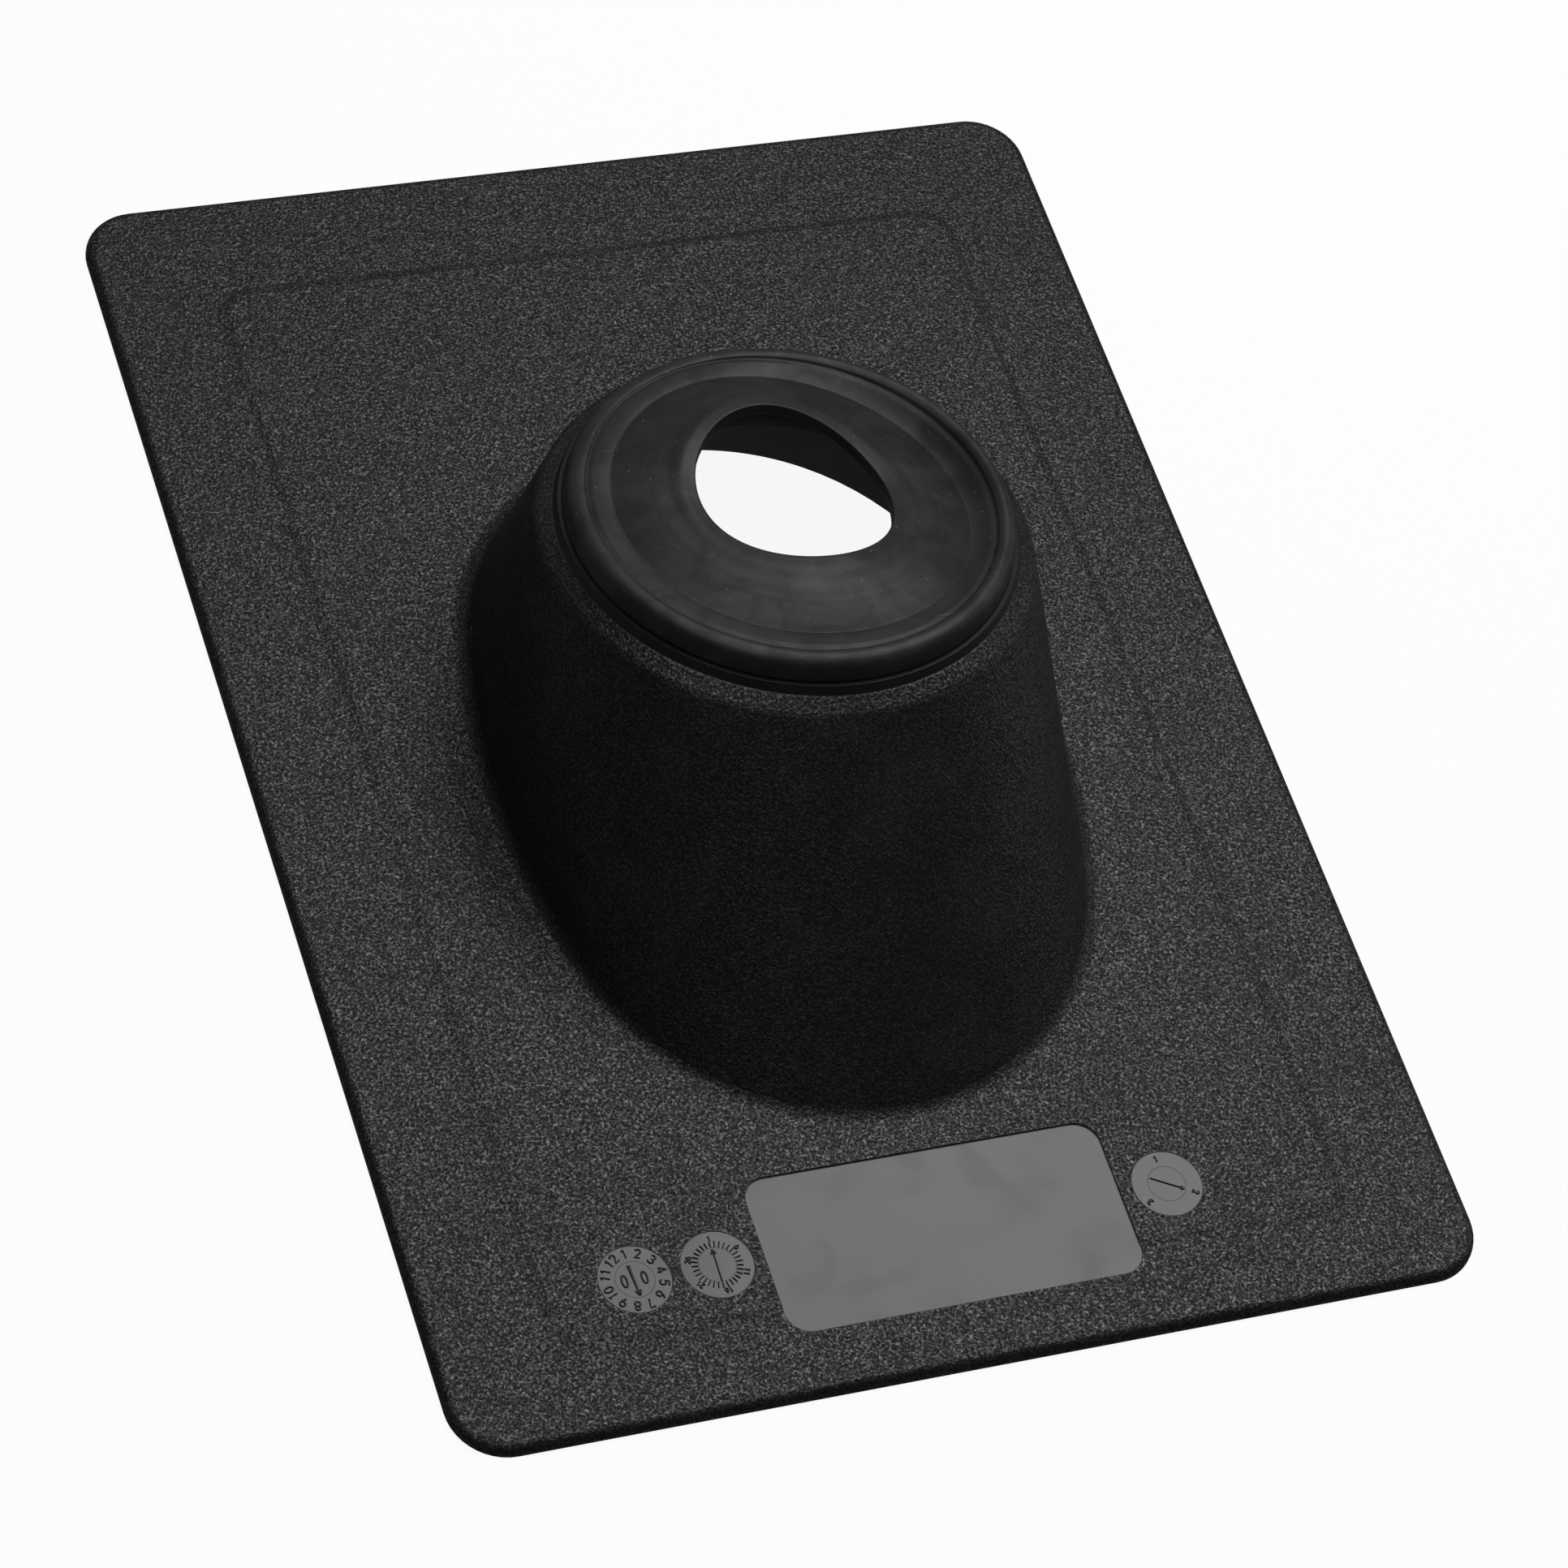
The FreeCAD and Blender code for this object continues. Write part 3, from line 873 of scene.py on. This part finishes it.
    def underside(self) -> list[Point]:
        """Below the lip, the dome and the shelf, as far as the wall of the pocket."""
        outer, below = self.lip_radius + self.lip_width, self.lip_height - self.lip_length
        points = [(outer - self.edge, below), (outer, below + self.edge),
                  (outer, self.lip_height - self.membrane - self.lip_root)]
        drop = self.membrane + self.membrane_slack
        points += [(radius, height - drop) for radius, height in reversed(self.dome(16)[1:-1])]
        ceiling, rounding = self.crease_height - self.shelf_thickness, self.pocket_rounding
        corner = self.pocket_radius - rounding
        points += span((self.crease_radius, ceiling), (corner, ceiling), 6)
        return points + arc((corner, ceiling - rounding), (rounding, rounding), 90.0, 0.0, 4)

    def wall(self) -> list[Point]:
        """The wall inside the neck, the clip under the ledge and the seat, back to the rim."""
        edge, inner, neck = self.edge, self.inner_radius, self.neck_radius
        return [(self.pocket_radius, self.foot_height), (inner, self.foot_height),
                (inner, self.clip_end + edge), (inner + edge, self.clip_end),
                (neck - edge, self.clip_end), (neck, self.clip_end + edge),
                (self.clip_radius, self.clip_edge), (self.clip_radius, self.clip_top - self.clip_rounding),
                (self.clip_radius - self.clip_rounding, self.clip_top), (neck, self.clip_top),
                (neck, self.seat_height), (self.outer_radius - edge, self.seat_height),
                (self.outer_radius, self.seat_height + edge)]

    def section(self) -> list[Point]:
        """The closed section: radius and height over the rim, from the rim up the outside."""
        bead = self.bead()
        return bead + self.shelf(bead[-1]) + self.dome() + self.lip() + self.underside() + self.wall()

    def bend(self, points: np.ndarray) -> np.ndarray:
        """Bend the shelf and the membrane as the rubber sits in the neck.

        Args:
            points: Vertices of the even ring, in metres.

        Returns:
            The bent vertices.
        """
        radius = np.hypot(points[:, 0], points[:, 1]) / MM
        height = points[:, 2] / MM
        turn = np.arctan2(points[:, 1], points[:, 0])
        waves = np.stack([np.cos(turn), np.sin(turn), np.cos(2 * turn), np.sin(2 * turn)])
        crease = np.tensordot(self.crease_bend, waves, 1)
        hole = np.tensordot(self.hole_bend, waves, 1)

        def smooth(value: np.ndarray) -> np.ndarray:
            """A soft step from 0 to 1."""
            clipped = np.clip(value, 0.0, 1.0)
            return clipped * clipped * (3 - 2 * clipped)

        inward = np.clip((self.crease_radius - radius) / (self.crease_radius - self.lip_radius), 0.0, 1.0)
        held = smooth((self.held_radius - radius) / (self.held_radius - self.crease_radius))
        free = smooth((height - self.free_height) / self.free_run)
        swell = np.exp(-(((radius - self.roll_place[0]) / self.roll_place[1]) ** 2))
        roll = self.roll_rise * swell * (0.5 + 0.5 * np.cos(turn - self.roll_turn))
        lift = (crease * (1 - inward) + hole * inward + roll) * held * free
        bent = points.copy()
        bent[:, 2] += lift * MM
        return bent

    def build(self, finishes: Finishes) -> bpy.types.Object:
        """Make the collar and set it in the neck.

        Args:
            finishes: The shared node groups.

        Returns:
            The collar.
        """
        start = self.lip_radius
        outline = [(radius - start, -height) for radius, height in self.section()]
        guide = guide_mesh("collar_section", [(outline, True)])
        rubber = self.finish.material(finishes, self.neck)
        values = {"Start Radius": start * MM, "Segments": self.segments, "Finish": rubber}
        collar = turning_recipe().make("rubber_collar_skin", guide, values)
        mesh = collar.data
        points = np.empty(len(mesh.vertices) * 3)
        mesh.vertices.foreach_get("co", points)
        bent = self.bend(points.reshape(-1, 3))
        mesh.vertices.foreach_set("co", bent.ravel())
        mesh.transform(self.neck.matrix())
        face_outwards(mesh)
        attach(collar, BODY)
        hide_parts(self.node)
        LOG.info("%s: %d faces", collar.name, len(mesh.polygons))
        return collar


def face_outwards(mesh: bpy.types.Mesh) -> None:
    """Merge doubles and turn every face outwards.

    Args:
        mesh: A mesh of closed shells.
    """
    work = bmesh.new()
    work.from_mesh(mesh)
    bmesh.ops.remove_doubles(work, verts=work.verts, dist=WELD)
    bmesh.ops.recalc_face_normals(work, faces=work.faces)
    work.to_mesh(mesh)
    work.free()


# The date dials


class Numeral:
    """Plain stroke numerals in a box 0.62 wide and 1 high, and the gap between two of them."""

    WIDTH = 0.62
    GAP = 0.20

    @staticmethod
    def strokes(digit: str) -> list[Line]:
        """The lines of one digit.

        Args:
            digit: A character from 0 to 9.

        Returns:
            Lines, each with whether it closes.
        """
        oval = arc((0.31, 0.5), (0.29, 0.5), 90.0, 450.0, 16)[:-1]
        return {
            "0": [(oval, True)],
            "1": [([(0.12, 0.80), (0.34, 1.0), (0.34, 0.0)], False)],
            "2": [(arc((0.31, 0.72), (0.27, 0.28), 165.0, -35.0, 9) + [(0.04, 0.0), (0.60, 0.0)], False)],
            "3": [(arc((0.28, 0.75), (0.27, 0.25), 150.0, -90.0, 9)
                   + arc((0.28, 0.26), (0.31, 0.26), 80.0, -150.0, 9)[1:], False)],
            "4": [([(0.45, 0.0), (0.45, 1.0), (0.0, 0.30), (0.62, 0.30)], False)],
            "5": [([(0.55, 1.0), (0.12, 1.0), (0.06, 0.56)]
                   + arc((0.29, 0.32), (0.31, 0.32), 110.0, -150.0, 10), False)],
            "6": [(arc((0.31, 0.31), (0.28, 0.31), 90.0, 450.0, 12)[:-1], True),
                  ([(0.05, 0.40), (0.16, 0.74), (0.42, 1.0)], False)],
            "7": [([(0.03, 1.0), (0.60, 1.0), (0.22, 0.0)], False)],
            "8": [(arc((0.31, 0.76), (0.23, 0.24), -90.0, 270.0, 12)[:-1], True),
                  (arc((0.31, 0.27), (0.29, 0.27), 90.0, 450.0, 12)[:-1], True)],
            "9": [(arc((0.31, 0.69), (0.28, 0.31), 90.0, 450.0, 12)[:-1], True),
                  ([(0.57, 0.60), (0.46, 0.26), (0.20, 0.0)], False)],
        }[digit]


@dataclass(frozen=True)
class DialNumber:
    """A number on a dial, with its head towards the dial's edge unless it stands upright."""

    text: str
    bearing: float
    reach: float
    height: float
    upright: bool = False
    squeeze: float = 1.0

    def lines(self) -> list[Line]:
        """The number's lines about the dial's centre, in millimetres."""
        step = (Numeral.WIDTH + Numeral.GAP) * self.height * self.squeeze
        whole = step * len(self.text) - Numeral.GAP * self.height * self.squeeze
        angle = math.radians(self.bearing)
        turn = 0.0 if self.upright else angle - math.pi / 2
        middle = (self.reach * math.cos(angle), self.reach * math.sin(angle))
        result = []
        for place, digit in enumerate(self.text):
            for line, closed in Numeral.strokes(digit):
                flat = [(x * self.height * self.squeeze + place * step - whole / 2, (y - 0.5) * self.height)
                        for x, y in line]
                turned = [(middle[0] + x * math.cos(turn) - y * math.sin(turn),
                           middle[1] + x * math.sin(turn) + y * math.cos(turn)) for x, y in flat]
                result.append((turned, closed))
        return result


def arrow(tail: Point, tip: Point, barb: float, spread: float = 28.0) -> list[Line]:
    """A straight pointer with two barbs.

    Args:
        tail: Its far end.
        tip: Its point.
        barb: Length of each barb.
        spread: Angle of each barb from the shaft, in degrees.

    Returns:
        The pointer's lines.
    """
    back = math.atan2(tail[1] - tip[1], tail[0] - tip[0])
    lines: list[Line] = [([tail, tip], False)]
    for side in (-1, 1):
        angle = back + side * math.radians(spread)
        lines.append(([tip, (tip[0] + barb * math.cos(angle), tip[1] + barb * math.sin(angle))], False))
    return lines


def marks_recipe() -> GeometryRecipe:
    """Raised roof-shaped marks along drawn lines."""
    recipe = GeometryRecipe("raised_marks", {"Line Width": "Float", "Line Height": "Float"})
    sheet, given = recipe.sheet, recipe.given
    lines = sheet.add("GeometryNodeMeshToCurve", {0: given["Geometry"]}).outputs[0]
    upright = sheet.add("GeometryNodeSetCurveNormal", {0: lines})
    upright.mode = "Z_UP"
    section = roof_section(sheet, given["Line Width"], given["Line Height"])
    solid = sheet.add("GeometryNodeCurveToMesh", {0: upright.outputs[0], 1: section, "Fill Caps": True})
    flat = sheet.add("GeometryNodeSetShadeSmooth", {0: solid.outputs[0], "Shade Smooth": False}).outputs[0]
    recipe.end(flat)
    return recipe


def tick_recipe() -> GeometryRecipe:
    """A ring of short radial ticks about each point of the guide."""
    recipe = GeometryRecipe("tick_ring", {
        "Ticks": "Int", "Ring Radius": "Float", "Tick Length": "Float", "Line Width": "Float",
        "Line Height": "Float"})
    sheet, given = recipe.sheet, recipe.given
    half = sheet.maths("MULTIPLY", given["Tick Length"], 0.5)
    start = sheet.add("ShaderNodeCombineXYZ", {0: sheet.maths("MULTIPLY", half, -1.0)}).outputs[0]
    end = sheet.add("ShaderNodeCombineXYZ", {0: half}).outputs[0]
    line = sheet.add("GeometryNodeCurvePrimitiveLine", {"Start": start, "End": end}).outputs[0]
    section = roof_section(sheet, given["Line Width"], given["Line Height"])
    tick = sheet.add("GeometryNodeCurveToMesh", {0: line, 1: section, "Fill Caps": True})
    ring = sheet.add("GeometryNodeMeshCircle", {"Vertices": given["Ticks"], "Radius": given["Ring Radius"]})
    outward = sheet.add("GeometryNodeInputPosition").outputs[0]
    turn = sheet.add("FunctionNodeAlignRotationToVector", {"Vector": outward}, axis="X", pivot_axis="Z")
    placed = sheet.add("GeometryNodeInstanceOnPoints", {
        "Points": ring.outputs[0], "Instance": tick.outputs[0], "Rotation": turn.outputs[0]})
    rings = sheet.add("GeometryNodeInstanceOnPoints", {
        "Points": given["Geometry"], "Instance": placed.outputs[0]})
    recipe.end(rings.outputs[0])
    return recipe


def face_recipe() -> GeometryRecipe:
    """A low smooth disc about each point of the guide."""
    recipe = GeometryRecipe("dial_face", {"Sides": "Int", "Radius": "Float", "Depth": "Float"})
    sheet, given = recipe.sheet, recipe.given
    disc = sheet.add("GeometryNodeMeshCylinder", {
        "Vertices": given["Sides"], "Radius": given["Radius"], "Depth": given["Depth"]})
    placed = sheet.add("GeometryNodeInstanceOnPoints", {
        "Points": given["Geometry"], "Instance": disc.outputs[0]})
    recipe.end(placed.outputs[0])
    return recipe


@dataclass(frozen=True)
class DialRecipes:
    """The geometry trees that every dial uses."""

    marks: GeometryRecipe = field(default_factory=marks_recipe)
    ticks: GeometryRecipe = field(default_factory=tick_recipe)
    face: GeometryRecipe = field(default_factory=face_recipe)


@dataclass
class DateDial:
    """One round date dial of the mould: a smooth face with raised marks on it. Sizes in millimetres."""

    name: str
    centre: Point
    floor: float
    numbers: tuple[DialNumber, ...] = ()
    pointers: tuple[tuple[Point, Point, float], ...] = ()
    face_radius: float = 7.96
    face_height: float = 0.42
    face_sides: int = 96
    insert_radius: float = 4.3
    seam_width: float = 0.18
    seam_height: float = 0.04
    line_width: float = 0.56
    line_height: float = 0.34
    ticks: int = 0
    tick_radius: float = 4.95
    tick_length: float = 1.3
    tick_width: float = 0.34

    def lines(self) -> list[Line]:
        """Numbers and pointers about the part's origin, in millimetres."""
        drawn: list[Line] = []
        for number in self.numbers:
            drawn.extend(number.lines())
        for tail, tip, barb in self.pointers:
            drawn.extend(arrow(tail, tip, barb))
        cx, cy = self.centre
        return [([(x + cx, y + cy) for x, y in line], closed) for line, closed in drawn]

    def build(self, recipes: DialRecipes, plastic: bpy.types.Material) -> bpy.types.Object:
        """Make the dial's face and marks as one piece.

        Args:
            recipes: The geometry trees of the dials.
            plastic: The base moulding's material.

        Returns:
            The piece.
        """
        top = self.floor + self.face_height
        middle = [([self.centre], False)]
        guide = guide_mesh(self.name + "_lines", self.lines(), top)
        bold = {"Line Width": self.line_width * MM, "Line Height": self.line_height * MM, "Finish": plastic}
        pieces = [recipes.marks.make(self.name, guide, bold)]
        cx, cy = self.centre
        turns = arc((0.0, 0.0), (self.insert_radius, self.insert_radius), 0.0, 360.0, 64)
        circle = [(cx + x, cy + y) for x, y in turns[:-1]]
        seam = guide_mesh(self.name + "_seam", [(circle, True)], top)
        fine = {"Line Width": self.seam_width * MM, "Line Height": self.seam_height * MM, "Finish": plastic}
        pieces.append(recipes.marks.make(self.name + "_seam", seam, fine))
        inside = guide_mesh(self.name + "_face", middle, self.floor + self.face_height / 2)
        face = {"Sides": self.face_sides, "Radius": self.face_radius * MM, "Depth": self.face_height * MM,
                "Finish": plastic}
        pieces.append(recipes.face.make(self.name + "_face", inside, face))
        if self.ticks:
            point = guide_mesh(self.name + "_middle", middle, top)
            values = {"Ticks": self.ticks, "Ring Radius": self.tick_radius * MM,
                      "Tick Length": self.tick_length * MM, "Line Width": self.tick_width * MM,
                      "Line Height": self.line_height * MM, "Finish": plastic}
            pieces.append(recipes.ticks.make(self.name + "_ticks", point, values))
        piece = join(pieces)
        face_outwards(piece.data)
        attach(piece, BODY)
        LOG.info("%s: %d faces", piece.name, len(piece.data.polygons))
        return piece


def join(pieces: Sequence[bpy.types.Object]) -> bpy.types.Object:
    """Join pieces into the first.

    Args:
        pieces: Pieces of one finish, all at the origin.

    Returns:
        The first, with the meshes of all.
    """
    work = bmesh.new()
    for piece in pieces:
        work.from_mesh(piece.data)
    work.to_mesh(pieces[0].data)
    work.free()
    for piece in pieces[1:]:
        bpy.data.objects.remove(piece)
    return pieces[0]


def date_dials(features: FlangeFeatures) -> list[DateDial]:
    """The three dials beside the panel.

    Args:
        features: Places on the flange.

    Returns:
        The month, day and shift dials.
    """
    bearings = (95.0, 68.5, 38.5, 10.5, -17.5, -46.0, -74.5, -101.5, -130.0, -160.5, 160.0, 126.0)
    month_reach, month_height = 6.3, 2.0
    year_height, year_squeeze = 2.8, 0.72
    day_reach, day_height, day_count = 6.35, 1.15, 31
    shift_height = 1.35
    months = tuple(DialNumber(str(month), bearing, month_reach, month_height)
                   for month, bearing in enumerate(bearings, start=1))
    year = (DialNumber("0", 182.0, 2.35, year_height, True, year_squeeze),
            DialNumber("0", 3.0, 2.15, year_height, True, year_squeeze))
    days = tuple(DialNumber(str(day), 90.0 - (day - 1) * 360.0 / day_count, day_reach, day_height)
                 for day in range(1, day_count - 1, 5))
    shifts = (DialNumber("1", 93.5, 6.3, shift_height), DialNumber("2", -29.0, 6.5, shift_height),
              DialNumber("3", 215.0, 6.4, shift_height))
    row, floor = features.dial_row, features.recess_floor
    return [
        DateDial("month_dial_marks", (features.month_dial, row), floor, months + year,
                 (((-0.7, 3.4), (0.0, -3.8), 1.3), ((-0.35, 3.4), (0.0, -3.8), 1.0))),
        DateDial("day_dial_marks", (features.day_dial, row), floor, days,
                 (((-0.2, -3.9), (-0.05, 3.7), 1.2),), insert_radius=4.1, line_width=0.46, ticks=day_count),
        DateDial("shift_dial_marks", (features.shift_dial, row), floor, shifts,
                 (((-3.3, 2.0), (3.4, -1.9), 0.9),)),
    ]


# The studio


@dataclass(frozen=True)
class CameraView:
    """The photograph's viewing angle."""

    place: Triple = (-0.4237, -0.6476, 1.0257)
    right: Triple = (0.9325, -0.2996, 0.2017)
    up: Triple = (0.1406, 0.8156, 0.5613)
    lens: float = 131.33
    sensor: float = 36.0
    nearest: float = 0.05

    def build(self) -> None:
        """Make the camera and use it."""
        camera = bpy.data.cameras.new("photo_view")
        camera.lens = self.lens
        camera.sensor_width = self.sensor
        camera.clip_start = self.nearest
        stand = bpy.data.objects.new("photo_view", camera)
        right = Vector(self.right).normalized()
        back = right.cross(Vector(self.up)).normalized()
        up = back.cross(right)
        turned = Matrix((right, up, back)).transposed().to_4x4()
        stand.matrix_world = Matrix.Translation(self.place) @ turned
        bpy.context.scene.collection.objects.link(stand)
        bpy.context.scene.camera = stand


@dataclass(frozen=True)
class SoftBox:
    """A large soft lamp that faces the object."""

    name: str
    towards: Triple
    distance: float
    width: float
    depth: float
    radiance: float

    def build(self) -> None:
        """Hang the lamp."""
        lamp = bpy.data.lights.new(self.name, "AREA")
        lamp.shape = "RECTANGLE"
        lamp.size, lamp.size_y = self.width, self.depth
        lamp.energy = self.radiance * math.pi * self.width * self.depth
        holder = bpy.data.objects.new(self.name, lamp)
        direction = Vector(self.towards).normalized()
        holder.location = direction * self.distance
        holder.rotation_euler = direction.to_track_quat("Z", "Y").to_euler()
        bpy.context.scene.collection.objects.link(holder)


@dataclass(frozen=True)
class Studio:
    """A white floor, soft lamps and a pale surround."""

    boxes: tuple[SoftBox, ...] = (
        SoftBox("key_softbox", (0.43, 0.305, 0.853), 1.6, 1.35, 0.5, 7.2),
        SoftBox("top_softbox", (-0.18, 0.05, 1.0), 1.8, 1.6, 0.9, 2.8),
        SoftBox("front_softbox", (0.05, -0.72, 0.70), 1.8, 1.4, 0.7, 0.08),
        SoftBox("side_softbox", (0.95, 0.06, 0.22), 1.6, 0.9, 0.8, 1.15),
        SoftBox("back_softbox", (-0.05, 0.93, 0.26), 1.8, 2.8, 0.8, 0.40),
    )
    surround: float = 0.08
    floor_reach: float = 4.0
    floor_drop: float = 0.03 * MM
    floor_colour: Triple = (0.80, 0.80, 0.80)
    floor_roughness: float = 0.9
    mirrored_glow: float = 0.13
    floor_glow: float = 0.92

    def world(self) -> None:
        """A low even surround that the camera sees as white."""
        world = bpy.data.worlds.new("surround")
        world.use_nodes = True
        bpy.context.scene.world = world
        sheet = NodeSheet(world.node_tree)
        shader = world.node_tree.nodes["Background"]
        sheet.feed(shader.inputs["Color"], (1.0, 1.0, 1.0, 1.0))
        path = sheet.add("ShaderNodeLightPath").outputs["Is Camera Ray"]
        sheet.feed(shader.inputs["Strength"], sheet.mix_value(path, self.surround, 1.0))

    def floor(self) -> None:
        """A plain white floor that keeps the object's shadow and hides nothing from below."""
        reach, level = self.floor_reach, -self.floor_drop
        corners = [(x * reach, y * reach, level) for x, y in ((-1, -1), (1, -1), (1, 1), (-1, 1))]
        mesh = bpy.data.meshes.new("studio_floor")
        mesh.from_pydata(corners, [], [(0, 1, 2, 3)])
        sheet_floor = bpy.data.objects.new("studio_floor", mesh)
        bpy.context.scene.collection.objects.link(sheet_floor)
        material, sheet, shader = new_material("floor_white")
        sheet.feed(shader.inputs["Base Color"], (*self.floor_colour, 1.0))
        sheet.feed(shader.inputs["Roughness"], self.floor_roughness)
        path = sheet.add("ShaderNodeLightPath").outputs
        strength = sheet.mix_value(path["Is Glossy Ray"], 1.0, self.mirrored_glow)
        glow = sheet.add("ShaderNodeEmission", {"Color": (1.0, 1.0, 1.0, 1.0), "Strength": strength})
        seen = sheet.maths("MULTIPLY", path["Is Camera Ray"], self.floor_glow)
        share = sheet.maths("MAXIMUM", seen, path["Is Glossy Ray"])
        mix = sheet.add("ShaderNodeMixShader", {0: share, 1: shader.outputs[0], 2: glow.outputs[0]})
        from_below = sheet.add("ShaderNodeNewGeometry").outputs["Backfacing"]
        clear = sheet.add("ShaderNodeBsdfTransparent").outputs[0]
        surface = sheet.add("ShaderNodeMixShader", {0: from_below, 1: mix.outputs[0], 2: clear})
        sheet.feed(material.node_tree.nodes["Material Output"].inputs["Surface"], surface.outputs[0])
        mesh.materials.append(material)

    def build(self) -> None:
        """Set up the whole studio."""
        self.world()
        self.floor()
        for box in self.boxes:
            box.build()
        bpy.context.scene.view_settings.view_transform = "Standard"


# The whole scene


def main() -> None:
    """Build every sub-assembly in order."""
    logging.basicConfig(level=logging.INFO, format="%(name)s: %(message)s")
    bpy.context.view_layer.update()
    CameraView().build()
    Studio().build()
    finishes = Finishes(MouldGrain().group(), HandlingMarks().group())
    base = FlashingBase()
    plastic = base.build(finishes)
    RubberCollar().build(finishes)
    recipes = DialRecipes()
    for dial in date_dials(base.features):
        dial.build(recipes, plastic)


if __name__ == "__main__":
    main()
